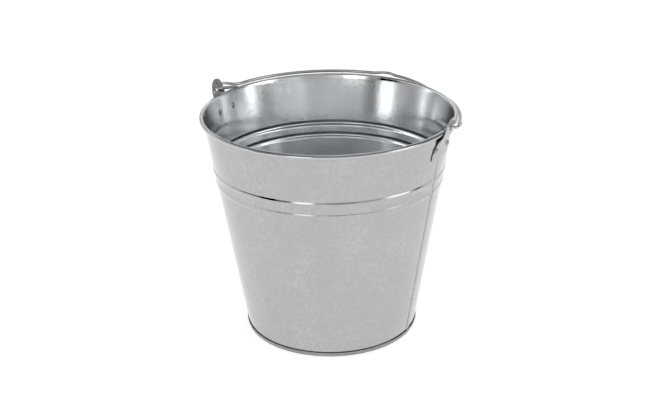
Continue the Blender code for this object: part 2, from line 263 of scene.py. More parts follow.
class BucketEarSettings(bpy.types.PropertyGroup):
    sheet: length("Ear sheet", "Thickness of the stamped plate", 0.0012)
    tip_radius: length("Tip radius", "Radius of the round tip", 0.0112)
    eye_radius: length("Eye radius", "Radius of the hole for the bail", 0.0034)
    radius: length("Radius at the eye", "Distance of the plate from the axis there", 0.1529)
    collar: length("Collar", "Height of the pressed collar round the eye", 0.0003)


class BucketRivetSettings(bpy.types.PropertyGroup):
    height: length("Height", "Mean height of the rivets on the wall", 0.2474)
    angle: FloatProperty(name="Angle", default=6.15,
                         description="Angle from the middle of the ear, in degrees")
    shank: length("Shank radius", "Radius of the shank", 0.0020)
    head: length("Head radius", "Radius of the domed outer head", 0.0032)
    head_rise: length("Head height", "Height of the domed outer head", 0.0016)
    set_end: length("Set end radius", "Radius of the hammered inner end", 0.0037)
    set_rise: length("Set end height", "Height of the hammered inner end", 0.0011)


class BucketBailSettings(bpy.types.PropertyGroup):
    wire: length("Wire radius", "Radius of the bail's wire", 0.0019)
    left_reach: length("Left reach", "Wire's distance from the curl's centre on the left", 0.0055)
    left_lift: FloatProperty(name="Left lift", default=87.0,
                             description="Angle of the wire above level on the left, in degrees")
    right_reach: length("Right reach", "Wire's distance from the curl's centre on the right",
                        0.0056)
    right_lift: FloatProperty(name="Right lift", default=-32.0,
                              description="Angle of the wire above level on the right, in degrees")
    hump: length("Hump", "Outward kink in the middle of the bail", 0.0055)
    hump_half: length("Hump half width", "Half the width of that kink", 0.017)
    hump_at: FloatProperty(name="Hump at", default=89.7,
                           description="Angle of the kink, in degrees")
    outside: length("Outside", "Distance of the wire from the axis beside the ears", 0.1590)
    bend: length("Hook bend", "Radius of the bend outside each ear", 0.0044)


class BucketStudioSettings(bpy.types.PropertyGroup):
    camera_turn: FloatProperty(name="Camera turn", default=28.5,
                               description="Camera's angle round the bucket, in degrees")
    camera_away: length("Camera distance", "Level distance from the bucket's axis", 1.317)
    camera_height: length("Camera height", "Height over the floor", 0.7120)
    camera_pitch: FloatProperty(name="Camera pitch", default=22.931,
                                description="Angle below level, in degrees")
    camera_roll: FloatProperty(name="Camera roll", default=-0.898,
                               description="Roll about its own view, in degrees")
    lens: FloatProperty(name="Lens", default=65.294, description="Focal length in millimetres")
    floor_size: length("Floor size", "Side of the square floor", 9.0)
    floor_colour: colour("Floor colour", "Pale floor", (0.90, 0.90, 0.90))
    floor_glow: FloatProperty(name="Floor glow", default=0.81,
                              description="Even light added to the floor")
    air: FloatProperty(name="Air", default=0.66, description="Strength of the surroundings")


class BucketFinishSettings(bpy.types.PropertyGroup):
    sheet_colour: colour("Sheet", "Zinc of the wall", (0.437, 0.424, 0.436))
    frost_colour: colour("Frost", "Paler crystals in the zinc", (0.534, 0.52, 0.533))
    # painted light: the inner colours are paler than the outer sheet's and stand in for the
    # brighter reflections inside the bucket
    inner_lit_colour: colour("Inner sheet", "Cleaner zinc inside", (0.785, 0.80, 0.81))
    inner_lit_frost_colour: colour("Inner frost", "Paler crystals inside", (0.865, 0.875, 0.885))
    wire_colour: colour("Wire", "Zinc on the wire", (0.60, 0.59, 0.575))
    rivet_colour: colour("Rivet", "Plated steel of the rivets", (0.46, 0.465, 0.48))
    spangle: IntProperty(name="Spangle", default=360, description="Crystals in a metre of sheet")


SETTINGS = (
    ("bucket_wall", BucketWallSettings),
    ("bucket_bottom", BucketBottomSettings),
    ("bucket_ear", BucketEarSettings),
    ("bucket_rivet", BucketRivetSettings),
    ("bucket_bail", BucketBailSettings),
    ("bucket_studio", BucketStudioSettings),
    ("bucket_finish", BucketFinishSettings),
)


# =============================== materials ===============================

def new_group(name, inputs, outputs):
    """An empty shader node group with named sockets: inputs hold (name, kind, default)."""
    group = bpy.data.node_groups.new(name, 'ShaderNodeTree')
    for label, kind, value in inputs:
        socket = group.interface.new_socket(name=label, in_out='INPUT', socket_type=kind)
        socket.default_value = value
    for label, kind in outputs:
        group.interface.new_socket(name=label, in_out='OUTPUT', socket_type=kind)
    return group, group.nodes.new('NodeGroupInput'), group.nodes.new('NodeGroupOutput')


def add(tree, kind, settings=None, **values):
    """Add a node, set its own settings, then set or link its inputs by name."""
    node = tree.nodes.new(kind)
    for key, value in (settings or {}).items():
        setattr(node, key, value)
    for key, value in values.items():
        join(tree, value, node.inputs[key.replace('_', ' ')])
    return node


def join(tree, value, socket):
    """Link a socket to the input, or set the input's own value."""
    if isinstance(value, bpy.types.NodeSocket):
        tree.links.new(value, socket)
    else:
        socket.default_value = value


def sums(tree, operation, *values):
    """A Math node; each value is a number or a socket."""
    node = tree.nodes.new('ShaderNodeMath')
    node.operation = operation
    for value, socket in zip(values, node.inputs):
        join(tree, value, socket)
    return node.outputs[0]


def vectors(tree, operation, *values):
    """A Vector Math node; each value is a vector or a socket."""
    node = tree.nodes.new('ShaderNodeVectorMath')
    node.operation = operation
    for value, socket in zip(values, node.inputs):
        join(tree, value, socket)
    return node


def mixed(tree, share, first, second):
    """A colour mix of two colours by a share."""
    node = tree.nodes.new('ShaderNodeMix')
    node.data_type = 'RGBA'
    join(tree, share, node.inputs[0])
    join(tree, first, node.inputs[6])
    join(tree, second, node.inputs[7])
    return node.outputs[2]


def remapped(tree, value, low, high, to_low=0.0, to_high=1.0, kind='LINEAR'):
    """A value between low and high carried over to between to_low and to_high, and held there."""
    return add(tree, 'ShaderNodeMapRange', {"interpolation_type": kind}, Value=value,
               From_Min=low, From_Max=high, To_Min=to_low, To_Max=to_high).outputs[0]


def soft_edge(tree, value, low, high):
    """0 before low and 1 beyond high, with a smooth change between; low may be the larger one."""
    return remapped(tree, value, low, high, kind='SMOOTHSTEP')


# zinc crystals; scales are in cells or waves to a metre
WARP_SCALE, WARP_REACH = 95.0, 0.006          # noise that bends the crystals' edges, and how far
CLOUD_SCALE, CLOUD_ROUGH = 26.0, 0.62         # clouds where the crystals show more
CLOUD_THIN, CLOUD_THICK = 0.38, 0.66
GRAIN_SCALE = 900.0                           # fine frost on every crystal
CALM_CRYSTAL = 0.35                           # contrast left between the clouds
CRYSTAL_SHARE = 0.75                          # the crystals' share of the tone; frost has the rest
CRYSTAL_GLOSS, CLOUD_GLOSS = 0.6, 0.25        # each crystal dulls the sheet, each cloud polishes it
FLATTEST = 0.2                                # tilt of the flattest crystal against the steepest
CRYSTAL_RELIEF, GRAIN_RELIEF = 0.9, 0.03

# handling marks
SMEAR_SCALE, SMEAR_ROUGH = (9.0, 9.0, 30.0), 0.6     # smears run level round the bucket
SMEAR_THIN, SMEAR_THICK = 0.45, 0.75
SMEAR_DULLS, SMEAR_DARKENS = 0.10, 0.35
RELIEF_DEPTH = 0.0002


def make_spangle_group():
    """Zinc crystals: feathery cells, each with its own brightness, gloss and slight tilt."""
    group, given, made = new_group(
        "Zinc spangle",
        [("Place", 'NodeSocketVector', (0.0, 0.0, 0.0)), ("Cells", 'NodeSocketFloat', 200.0),
         ("Dark", 'NodeSocketColor', (0.6, 0.6, 0.6, 1.0)),
         ("Light", 'NodeSocketColor', (0.7, 0.7, 0.7, 1.0)),
         ("Gloss", 'NodeSocketFloat', 0.25), ("Spread", 'NodeSocketFloat', 0.08)],
        [("Color", 'NodeSocketColor'), ("Roughness", 'NodeSocketFloat'),
         ("Height", 'NodeSocketFloat')])
    warp = add(group, 'ShaderNodeTexNoise', Vector=given.outputs["Place"], Scale=WARP_SCALE,
               Detail=3.0)
    push = vectors(group, 'SCALE', warp.outputs["Color"])
    push.inputs["Scale"].default_value = WARP_REACH
    place = vectors(group, 'ADD', given.outputs["Place"], push.outputs[0])
    cells = add(group, 'ShaderNodeTexVoronoi', Vector=place.outputs[0],
                Scale=given.outputs["Cells"], Randomness=1.0)
    apart = add(group, 'ShaderNodeSeparateColor', Color=cells.outputs["Color"])
    cloud = add(group, 'ShaderNodeTexNoise', Vector=given.outputs["Place"], Scale=CLOUD_SCALE,
                Detail=4.0, Roughness=CLOUD_ROUGH)
    fine = add(group, 'ShaderNodeTexNoise', Vector=given.outputs["Place"], Scale=GRAIN_SCALE,
               Detail=2.0)
    patch = remapped(group, cloud.outputs[0], CLOUD_THIN, CLOUD_THICK)
    crystal = sums(group, 'MULTIPLY', apart.outputs[0],
                   remapped(group, patch, 0.0, 1.0, CALM_CRYSTAL, 1.0))
    tone = sums(group, 'ADD', sums(group, 'MULTIPLY', crystal, CRYSTAL_SHARE),
                sums(group, 'MULTIPLY', fine.outputs[0], 1.0 - CRYSTAL_SHARE))
    join(group, mixed(group, tone, given.outputs["Dark"], given.outputs["Light"]),
         made.inputs["Color"])
    swing = sums(group, 'SUBTRACT', sums(group, 'MULTIPLY', apart.outputs[1], CRYSTAL_GLOSS),
                 sums(group, 'MULTIPLY', patch, CLOUD_GLOSS))
    join(group, sums(group, 'ADD', given.outputs["Gloss"],
                     sums(group, 'MULTIPLY', swing, given.outputs["Spread"])),
         made.inputs["Roughness"])
    facet = sums(group, 'MULTIPLY', cells.outputs["Distance"],
                 remapped(group, apart.outputs[2], 0.0, 1.0, FLATTEST, 1.0))
    join(group, sums(group, 'ADD', sums(group, 'MULTIPLY', facet, CRYSTAL_RELIEF),
                     sums(group, 'MULTIPLY', fine.outputs[0], GRAIN_RELIEF)),
         made.inputs["Height"])


def make_handling_group():
    """Marks of handling: faint wiped smears round the bucket."""
    group, given, made = new_group(
        "Handling marks",
        [("Place", 'NodeSocketVector', (0.0, 0.0, 0.0)), ("Amount", 'NodeSocketFloat', 0.5)],
        [("Smear", 'NodeSocketFloat')])
    flat = add(group, 'ShaderNodeMapping', Vector=given.outputs["Place"], Scale=SMEAR_SCALE)
    smear = add(group, 'ShaderNodeTexNoise', Vector=flat.outputs[0], Scale=1.0, Detail=5.0,
                Roughness=SMEAR_ROUGH)
    share = remapped(group, smear.outputs[0], SMEAR_THIN, SMEAR_THICK)
    join(group, sums(group, 'MULTIPLY', share, given.outputs["Amount"]), made.inputs["Smear"])


def zinc_material(name, dark, light, cells, gloss, spread, relief, marks, haze=0.06, inner=None):
    """Galvanised metal: spangle and handling marks feed colour, gloss and relief.

    cells is the number of crystals to a metre, gloss the mean roughness and spread how far it
    varies from crystal to crystal. haze is the share of dull white oxide, which reflects light
    evenly instead of as a mirror. inner is a second pair of colours for the sheet's inner side,
    told apart by the "inner" values stored on the surface; it is painted light, paler than the
    outer pair to stand in for the brighter reflections inside the bucket.
    """
    material = bpy.data.materials.new(name)
    material.use_nodes = True
    tree = material.node_tree
    shader = tree.nodes["Principled BSDF"]
    shader.inputs["Metallic"].default_value = 1.0 - haze
    place = add(tree, 'ShaderNodeTexCoord').outputs["Object"]
    groups = bpy.data.node_groups
    dark, light = (*dark, 1.0), (*light, 1.0)
    # painted light: the "inner" values mix in the paler inner colours that stand in for the
    # reflections inside the bucket
    if inner:
        side = add(tree, 'ShaderNodeAttribute', {"attribute_name": "inner"}).outputs["Fac"]
        dark = mixed(tree, side, dark, (*inner[0], 1.0))
        light = mixed(tree, side, light, (*inner[1], 1.0))
    spangle = add(tree, 'ShaderNodeGroup', {"node_tree": groups["Zinc spangle"]}, Place=place,
                  Cells=cells, Dark=dark, Light=light, Gloss=gloss, Spread=spread)
    handled = add(tree, 'ShaderNodeGroup', {"node_tree": groups["Handling marks"]}, Place=place,
                  Amount=marks)
    dulled = sums(tree, 'ADD', spangle.outputs["Roughness"],
                  sums(tree, 'MULTIPLY', handled.outputs["Smear"], SMEAR_DULLS))
    join(tree, dulled, shader.inputs["Roughness"])
    wiped = mixed(tree, sums(tree, 'MULTIPLY', handled.outputs["Smear"], SMEAR_DARKENS),
                  spangle.outputs["Color"], dark)
    join(tree, wiped, shader.inputs["Base Color"])
    bump = add(tree, 'ShaderNodeBump', Strength=relief, Distance=RELIEF_DEPTH,
               Height=spangle.outputs["Height"])
    tree.links.new(bump.outputs[0], shader.inputs["Normal"])
    return material


BOTTOM_SHEET_SHARE, BOTTOM_FROST_SHARE = 0.62, 0.75      # tones of the bottom against those of the wall: the bottom disc and its foot are darker
WIRE_FROST = 1.08                        # crystals on the wire against its own zinc
EAR_CELLS, SMALL_CELLS = 1.4, 3.0        # crystals to a metre against those of the wall


def make_materials(finish):
    """The zinc of each kind of piece, from the finish settings."""
    make_spangle_group()
    make_handling_group()
    sheet, frost = tuple(finish.sheet_colour), tuple(finish.frost_colour)
    wire, rivet = tuple(finish.wire_colour), tuple(finish.rivet_colour)
    paler = tuple(min(1.0, part * WIRE_FROST) for part in wire)
    cells = float(finish.spangle)
    small = cells * SMALL_CELLS
    # the inner pair of colours is painted light: paler than the outer pair, standing in for the
    # brighter reflections inside the bucket
    zinc_material("galvanised sheet", sheet, frost, cells, gloss=0.10, spread=0.07, relief=0.20,
                  marks=0.5, haze=0.07,
                  inner=(tuple(finish.inner_lit_colour), tuple(finish.inner_lit_frost_colour)))
    zinc_material("galvanised bottom", tuple(BOTTOM_SHEET_SHARE * part for part in sheet),
                  tuple(BOTTOM_FROST_SHARE * part for part in frost), cells, gloss=0.22, spread=0.08,
                  relief=0.06, marks=0.8)
    zinc_material("galvanised ear", sheet, frost, cells * EAR_CELLS, gloss=0.25, spread=0.10,
                  relief=0.10, marks=0.6)
    zinc_material("galvanised wire", wire, paler, small, gloss=0.27, spread=0.08, relief=0.10,
                  marks=0.7)
    zinc_material("rivet steel", rivet, sheet, small, gloss=0.30, spread=0.10, relief=0.15,
                  marks=0.9)


# =============================== the wall ===============================

CURL_POINTS, TOP_POINTS, BEAD_POINTS, SKIRT_POINTS = 26, 14, 46, 22    # rows of each stretch
BEAD_MARGIN = 0.62               # how far the close rows reach past a bead's middle, in bead widths
WALL_STEP_DEG = 1.5              # between columns, and closer behind the ears and at the seam
EAR_HALF_DEG, EAR_STEP_DEG = 11.0, 0.4
SEAM_DEG = (1.4, 1.5, 1.6, 1.7, 1.85, 2.1)
SAME_ANGLE = 0.0008              # radians; columns nearer than this are one
# ripple waves: count round the wall, share of the height, start and twist to a metre, in radians
SLOW_WAVES = ((3, 1.0, 0.8, 5.0), (5, 0.6, -1.9, -9.0), (8, 0.35, 2.4, 14.0))
QUICK_WAVES = ((23, 0.06, 1.1, 0.0), (37, 0.05, 0.4, 11.0))
FOOT_STIFF, BEAD_STIFF = (0.004, 0.045), (0.205, 0.258)    # heights where the slow waves fade
STIFF_SHARE = 0.15               # of the slow waves, left where foot and beads hold the sheet
SEAM_SHOULDER_DEG = 0.16         # half the width of the seam's shoulders
SEAM_RUN_OUT = 0.001
BELOW_CURL = (0.254, 0.262)      # heights over which ripple and dimples end under the rim
DIMPLE_SPREAD = 1.35             # dimple's width over the rivet's hammered end
INNER_LIGHT_FADE_FROM, INNER_LIGHT_FADE_TO = -0.0005, 0.0015       # across the curl, from its middle
INNER_LIGHT_FADE_SHARE = 0.75             # of the inner side's painted brightening taken off over the curl's outer side


def wall_line(wall, z):
    """Outer radius of the plain cone: foot radius plus slope times height."""
    return wall.foot_radius + wall.slope * z


def bead_rise(wall, z):
    """Each bead is a raised cosine: rise * (1 + cos(pi u)) / 2 for u from -1 to 1."""
    total = np.zeros_like(z)
    for middle, rise in ((wall.lower_bead, wall.lower_rise), (wall.upper_bead, wall.upper_rise)):
        u = np.clip((z - middle) / (wall.bead_width / 2), -1.0, 1.0)
        total += rise * 0.5 * (1.0 + np.cos(math.pi * u))
    return total


def wall_middle(wall):
    """Middle of the sheet from the curl's free end over the rim and down to the foot."""
    bend = (WALL_HIGH.z - CURL_Z) - wall.sheet / 2
    lean = math.atan(wall.slope)
    turn = np.linspace(math.radians(wall.curl_end), math.pi - lean, CURL_POINTS)
    curl = np.stack([CURL_R + bend * np.cos(turn), CURL_Z + bend * np.sin(turn)], 1)
    bead_top = wall.upper_bead + wall.bead_width * BEAD_MARGIN
    bead_foot = wall.lower_bead - wall.bead_width * BEAD_MARGIN
    z = np.concatenate([np.linspace(curl[-1, 1], bead_top, TOP_POINTS)[1:],
                        np.linspace(bead_top, bead_foot, BEAD_POINTS)[1:],
                        np.linspace(bead_foot, WALL_LOW.z, SKIRT_POINTS)[1:]])
    half = wall.sheet / 2 * math.hypot(1.0, wall.slope)
    r = wall_line(wall, z) - half + bead_rise(wall, z)
    return np.vstack([curl, np.stack([r, z], 1)])


def wall_angles():
    """Angles round the wall, closer together at the seam and behind each ear."""
    even = np.radians(np.arange(0.0, 360.0, WALL_STEP_DEG))
    ear = np.radians(np.arange(-EAR_HALF_DEG, EAR_HALF_DEG + 0.01, EAR_STEP_DEG))
    seam = np.radians(SEAM_DEG)
    every = np.concatenate([even, ear, ear + math.pi, seam, -seam]) % (2 * math.pi)
    every = np.unique(np.round(every, 5))
    return every[np.concatenate([[True], np.diff(every) > SAME_ANGLE])]


def waves(table, angles, z):
    """Sum over the table of share * sin(count * angle + start + twist * height)."""
    return sum(share * np.sin(count * angles + start + twist * z)
               for count, share, start, twist in table)


def sheet_ripple(wall, angles, z):
    """Unevenness of rolled sheet: a few slow waves round the wall and fainter quick ones."""
    free = smooth_step(z, *FOOT_STIFF) * (1.0 - smooth_step(z, *BEAD_STIFF))
    return wall.ripple * (waves(SLOW_WAVES, angles, z) * (STIFF_SHARE + (1.0 - STIFF_SHARE) * free)
                          + waves(QUICK_WAVES, angles, z))


def rivet_places(rivet):
    """Name, angle and height of each rivet; the left pair sits higher than the right one."""
    step = math.radians(rivet.angle)
    right, left = rivet.height - EAR_SKEW, rivet.height + EAR_SKEW
    return (("rivet_right_front", -step, right), ("rivet_right_back", step, right),
            ("rivet_left_front", math.pi + step, left), ("rivet_left_back", math.pi - step, left))


class BucketWallOperator(bpy.types.Operator):
    """Build the conical wall with its beads, curled rim, lock seam and rivet dimples"""
    bl_idname = "bucket.wall"
    bl_label = "Wall"

    def execute(self, context):
        """Surface = profile turned about Z, moved out by seam and ripple and in by the dimples.

        The sheet's middle line m(v) gives outer side m + n t/2 and inner side m - n t/2, with n the
        line's normal and t the sheet's thickness; both sides run into one closed loop.
        """
        wall, rivet = context.scene.bucket_wall, context.scene.bucket_rivet
        middle = wall_middle(wall)
        normal = normal_along(middle)
        outward = normal if normal[-1, 0] > 0 else -normal
        half = wall.sheet / 2
        angles = wall_angles()
        outer, inner = middle + outward * half, (middle - outward * half)[::-1]
        loop = np.vstack([outer, inner])
        side = np.concatenate([np.ones(len(outer)), np.zeros(len(inner))])[:, None]
        z = loop[:, 1][:, None]
        r = loop[:, 0][:, None] + 0.0 * angles
        turn = (angles + math.pi) % (2 * math.pi) - math.pi
        seam_half = math.radians(wall.seam_half_angle)
        soft = math.radians(SEAM_SHOULDER_DEG)
        seam = 1.0 - smooth_step(np.abs(turn), seam_half - soft, seam_half + soft)
        run = (smooth_step(z, wall.seam_bottom - SEAM_RUN_OUT, wall.seam_bottom + SEAM_RUN_OUT)
               * (1.0 - smooth_step(z, wall.seam_top - 2 * SEAM_RUN_OUT, wall.seam_top)))
        r = r + wall.seam_rise * seam * run * side
        below_curl = 1.0 - smooth_step(z, *BELOW_CURL)
        r = r + sheet_ripple(wall, angles, z) * below_curl
        for _, angle, height in rivet_places(rivet):
            aside = (angles - angle + math.pi) % (2 * math.pi) - math.pi
            across = aside * wall_line(wall, height)
            away = (across ** 2 + (z - height) ** 2) / (rivet.set_end * DIMPLE_SPREAD) ** 2
            r = r - wall.dimple * np.exp(-away ** 2) * below_curl
        rows = np.stack([r * np.cos(angles), r * np.sin(angles), z + 0 * angles], -1)
        piece = surface_object("bucket_wall", rows, wrap_rows=True)
        # painted light: the "inner" values spread the paler inner colours over the sheet's inner
        # side and the curl's visible face, standing in for the brighter reflections inside the
        # bucket; most of it is taken off again over the curl's outer side
        painted_light_layer = piece.data.attributes.new("inner", 'FLOAT', 'POINT')
        handled = smooth_step(loop[:, 0] - CURL_R, INNER_LIGHT_FADE_FROM, INNER_LIGHT_FADE_TO)[:, None]
        painted_inner_light = (1.0 - side) * (1.0 - INNER_LIGHT_FADE_SHARE * handled)
        painted_light_layer.data.foreach_set("value", (painted_inner_light + 0.0 * angles).ravel())
        finish_piece(piece, bpy.data.materials["galvanised sheet"], "bucket", "galvanised_sheet",
                     "body_wall")
        return {'FINISHED'}


RIM_RINGS, RIM_SIDES = 240, 12


class BucketRimWireOperator(bpy.types.Operator):
    """Build the wire that the rim is rolled round"""
    bl_idname = "bucket.rim_wire"
    bl_label = "Rim wire"

    def execute(self, context):
        """Path = a circle of the curl's radius at the curl's height."""
        turn = np.linspace(0.0, 2 * math.pi, RIM_RINGS, endpoint=False)
        path = np.stack([CURL_R * np.cos(turn), CURL_R * np.sin(turn), CURL_Z + 0 * turn], 1)
        piece = round_wire("rim_core", path, CORE_RADIUS, RIM_SIDES)
        finish_piece(piece, bpy.data.materials["galvanised wire"], "bucket", "galvanised_wire",
                     "rim_wire")
        return {'FINISHED'}


DISC_POINTS, FLANGE_POINTS, LIP_POINTS, FOLD_POINTS, UNDER_POINTS = 70, 8, 9, 7, 30
BOTTOM_COLUMNS = 300
HUB = 0.004                                      # radius of the innermost ring of points
PRESSED_RINGS = ((0.062, 0.004), (0.086, 0.003))    # radius and width of each stiffening ring
PRESSED_RISE = 0.0004
FLANGE_START = 0.0004                            # height of its first points over the disc


class BucketBottomOperator(bpy.types.Operator):
    """Build the bottom disc with its edge folded up round the foot"""
    bl_idname = "bucket.bottom"
    bl_label = "Bottom"

    def execute(self, context):
        """Surface = a closed half section turned about Z.

        The section runs from the axis along the top of the disc, up the inside of the flange, over
        its rolled lip, down its outside, round the fold and back along the flat underside. Two
        shallow pressed rings stiffen the disc: rise * exp(-((r - ring) / width)^2).
        """
        bottom, wall = context.scene.bucket_bottom, context.scene.bucket_wall
        inner = wall.foot_radius + FIT
        outer = inner + bottom.flange
        top = DISC_HIGH.z
        lean = wall.slope * top
        lip = bottom.flange / 2
        r = np.linspace(inner, HUB, DISC_POINTS)[::-1]
        press = PRESSED_RISE * sum(np.exp(-((r - ring) / width) ** 2)
                                   for ring, width in PRESSED_RINGS)
        floor_line = np.stack([r, bottom.sheet + press], 1)
        rise = np.linspace(bottom.sheet + FLANGE_START, top - lip, FLANGE_POINTS)
        inside = np.stack([inner + wall.slope * rise, rise], 1)
        round_lip = np.linspace(math.pi, 0.0, LIP_POINTS)[1:]
        middle = inner + lean + lip
        rolled = np.stack([middle + lip * np.cos(round_lip),
                           top - lip + lip * np.sin(round_lip)], 1)
        fall = np.linspace(top - lip, bottom.edge, FLANGE_POINTS)[1:]
        outside = np.stack([outer + wall.slope * fall, fall], 1)
        fold = np.linspace(0.0, -math.pi / 2, FOLD_POINTS)[1:]
        edge = np.stack([outer - bottom.edge + bottom.edge * np.cos(fold),
                         bottom.edge + bottom.edge * np.sin(fold)], 1)
        back = np.linspace(edge[-1, 0], HUB, UNDER_POINTS)[1:]
        under = np.stack([back, np.zeros_like(back)], 1)
        section = np.vstack([floor_line, inside, rolled, outside, edge, under])
        angles = np.linspace(0.0, 2 * math.pi, BOTTOM_COLUMNS, endpoint=False)
        piece = surface_object("bucket_bottom", turned(section, angles),
                               start=(0.0, 0.0, bottom.sheet), end=(0.0, 0.0, 0.0))
        finish_piece(piece, bpy.data.materials["galvanised bottom"], "bucket", "galvanised_bottom",
                     "bottom_disc")
        return {'FINISHED'}


# =============================== ears and rivets ===============================

# half width of the ear over its height above the ear's foot
EAR_SIDE = ((0.0170, 0.0000), (0.0205, 0.0014), (0.0215, 0.0046), (0.0208, 0.0094),
            (0.0180, 0.0149), (0.0150, 0.0204), (0.0134, 0.0254), (0.0126, 0.0304),
            (0.0120, 0.0354))
EAR_FOOT_HALF = 0.0085             # half width of the foot's straight edge
EAR_TIP_DEG = (10.0, 180.0, 20.0)   # first, last and step of the round tip
# heights above the ear's foot where it lies on the wall, then (height, distance from the axis)
EAR_ON_WALL = (-0.004, 0.0, 0.006, 0.012, 0.0174)
EAR_BULGE = ((0.0229, 0.1464), (0.0272, 0.1496), (0.0314, 0.1515), (0.0370, 0.1529),
             (0.0429, 0.1538), (0.0494, 0.1545))
EAR_POINTS = 150                    # round the outline
FACE_SHARES = (0.0, 0.06, 0.14, 0.24, 0.36, 0.5, 0.64, 0.78, 0.9, 1.0)    # from eye to outline
EDGE_DEG = (30.0, 60.0, 90.0, 120.0, 150.0)    # round the sheet's edge
COLLAR_WIDTH = 0.0016
SHORT_STEP = 0.00005                # between two places whose difference gives a direction


def ear_radius(ear, wall, z):
    """Distance of the plate's middle from the axis: along the wall, then out round the rim."""
    stand_off = (FIT + ear.sheet / 2) * math.hypot(1.0, wall.slope)
    low = EAR_FOOT + np.array(EAR_ON_WALL)
    places = np.concatenate([low, EAR_FOOT + np.array([rise for rise, _ in EAR_BULGE])])
    values = np.concatenate([wall_line(wall, low) + stand_off, [r for _, r in EAR_BULGE]])
    return smooth_line(places, values, z)


def ear_outline(ear, count):
    """Even points round the ear's front view, in (across, height)."""
    side = [(half, EAR_FOOT + rise) for half, rise in EAR_SIDE]
    tip = [(ear.tip_radius * math.cos(a), HINGE_Z + ear.tip_radius * math.sin(a))
           for a in np.radians(np.arange(*EAR_TIP_DEG))]
    foot = [(-EAR_FOOT_HALF, EAR_FOOT), (0.0, EAR_FOOT), (EAR_FOOT_HALF, EAR_FOOT)]
    return even_points(foot[1:] + side + tip + [(-y, z) for y, z in reversed(side)] + foot[:1],
                       count, closed=True)


class BucketEarsOperator(bpy.types.Operator):
    """Build both stamped ears"""
    bl_idname = "bucket.ears"
    bl_label = "Ears"

    def execute(self, context):
        """Surface = points spread between the eye's circle and the outline, on both faces.

        A flat place (y, z) lies at x = sqrt(R(z)^2 - y^2). Each side of the sheet is that point
        plus or minus half the thickness along the surface's normal, and the edges are half rounds.
        """
        ear, wall = context.scene.bucket_ear, context.scene.bucket_wall
        outline = ear_outline(ear, EAR_POINTS)
        centre = np.array([0.0, HINGE_Z])
        away = outline - centre
        away /= np.linalg.norm(away, axis=1, keepdims=True)
        half = ear.sheet / 2
        rim = np.roll(outline, -1, 0) - np.roll(outline, 1, 0)
        rim /= np.linalg.norm(rim, axis=1, keepdims=True)
        edge_out = np.stack([rim[:, 1], -rim[:, 0]], 1)
        eye = centre + away * ear.eye_radius
        share = np.array(FACE_SHARES)[:, None, None]
        inset = outline - edge_out * half
        eye_inset = eye + away * half
        face = eye_inset + (inset - eye_inset) * share
        bend = np.radians(EDGE_DEG)
        outer_edge = inset + edge_out * half * np.sin(bend)[:, None, None]
        inner_edge = eye_inset - away * half * np.sin(bend)[:, None, None]
        flat = np.concatenate([face, outer_edge, face[::-1], inner_edge])
        full = np.ones(len(face))
        depth = half * np.concatenate([full, np.cos(bend), -full, -np.cos(bend)])[:, None]
        y, z = flat[..., 0], flat[..., 1]

        def at(across, height):
            """The place on the plate's middle over a flat place of its front view."""
            r = ear_radius(ear, wall, height)
            return np.stack([np.sqrt(r ** 2 - across ** 2), across, height], -1)

        base = at(y, z)
        normal = np.cross(at(y + SHORT_STEP, z) - base, at(y, z + SHORT_STEP) - base)
        normal /= np.linalg.norm(normal, axis=-1, keepdims=True)
        from_eye = np.hypot(y, z - HINGE_Z)
        collar = ear.collar * np.exp(-((from_eye - ear.eye_radius) / COLLAR_WIDTH) ** 2)
        rows = base + normal * (depth + collar)[..., None]
        for name, turn, lift in (("right", 0.0, -EAR_SKEW), ("left", math.pi, EAR_SKEW)):
            c, s = math.cos(turn), math.sin(turn)
            moved = rows + np.array([wall.slope * lift, 0.0, lift])
            swung = np.stack([c * moved[..., 0] - s * moved[..., 1],
                              s * moved[..., 0] + c * moved[..., 1], moved[..., 2]], -1)
            piece = surface_object(f"ear_plate_{name}", swung, wrap_rows=True)
            finish_piece(piece, bpy.data.materials["galvanised ear"], "bucket", "galvanised_ear",
                         f"ear_{name}")
        return {'FINISHED'}


RIVET_SIDES = 28
DOME_POINTS, DOME_START, DOME_POWER = 9, 0.12, 0.6      # the first ring is a share of the radius
CRUSH_POINTS, CRUSH_SHRINK, CRUSH_POWER = 8, 0.92, 1.6  # the hammered end draws in to its middle
CRUSH_RATE, CRUSH_HOLD = 0.75, 0.6                      # and its height follows a sine, then holds
END_DIP = 0.00005


